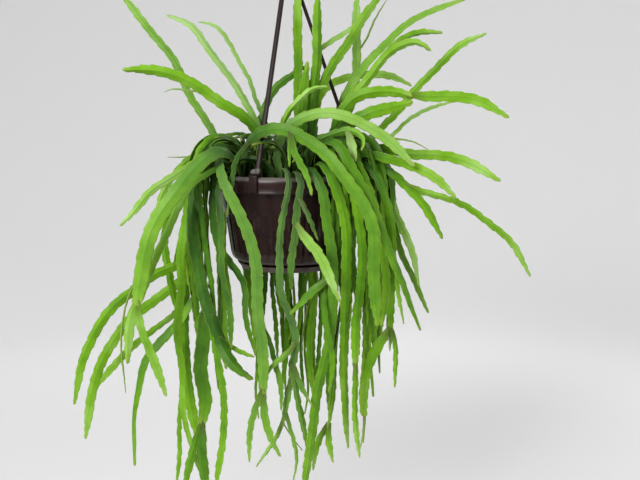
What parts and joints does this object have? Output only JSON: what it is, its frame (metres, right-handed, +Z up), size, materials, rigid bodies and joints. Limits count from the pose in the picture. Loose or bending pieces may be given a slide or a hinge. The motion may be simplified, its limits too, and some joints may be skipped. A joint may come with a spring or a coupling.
{
  "type": "hanging potted cactus",
  "caption": "Flat-stemmed mistletoe cactus arching out of and trailing below a dark plastic hanging pot with a fluted wall, clip-on saucer and a rod hanger with a hook.",
  "frame": {"origin": "the point at the inside top of the hanger's hook, on the pot's axis, where the hook rests on its support", "axes": "+Z up along the pot's axis, +X to the right seen from the front, -Y towards the front; the hook's bend lies in the XZ plane"},
  "size_m": [0.4761, 0.2532, 0.584],
  "materials": {
    "pot_plastic": "satin",
    "saucer_plastic": "satin",
    "hanger_plastic": "satin",
    "potting_soil": "matte",
    "stem": "satin"
  },
  "bodies": {
    "root": {"pot": "pot_plastic", "saucer": "saucer_plastic", "soil": "potting_soil", "hanger_hook": "hanger_plastic", "hanger_strand_1": "hanger_plastic", "hanger_strand_2": "hanger_plastic", "hanger_strand_3": "hanger_plastic", "stem_upright_1": "stem", "stem_upright_2": "stem", "stem_upright_3": "stem", "stem_upright_4": "stem", "stem_upright_5": "stem", "stem_upright_6": "stem", "stem_upright_7": "stem", "stem_upright_8": "stem", "stem_right_1": "stem", "stem_right_2": "stem", "stem_right_3": "stem", "stem_right_4": "stem", "stem_right_5": "stem", "stem_right_6": "stem", "stem_right_7": "stem", "stem_right_8": "stem", "stem_right_9": "stem", "stem_right_10": "stem", "stem_right_11": "stem", "stem_right_12": "stem", "stem_right_13": "stem", "stem_front_1": "stem", "stem_front_2": "stem", "stem_front_3": "stem", "stem_front_4": "stem", "stem_front_5": "stem", "stem_front_6": "stem", "stem_front_7": "stem", "stem_front_8": "stem", "stem_front_9": "stem", "stem_front_10": "stem", "stem_left_1": "stem", "stem_left_2": "stem", "stem_left_3": "stem", "stem_left_4": "stem", "stem_left_5": "stem", "stem_left_6": "stem", "stem_left_7": "stem", "stem_left_8": "stem", "stem_left_9": "stem", "stem_left_10": "stem", "stem_left_11": "stem", "stem_left_12": "stem", "stem_left_13": "stem", "stem_left_14": "stem", "stem_back_1": "stem", "stem_back_2": "stem", "stem_back_3": "stem", "stem_back_4": "stem", "stem_back_5": "stem", "stem_back_6": "stem", "stem_back_7": "stem"}
  },
  "joints": []
}
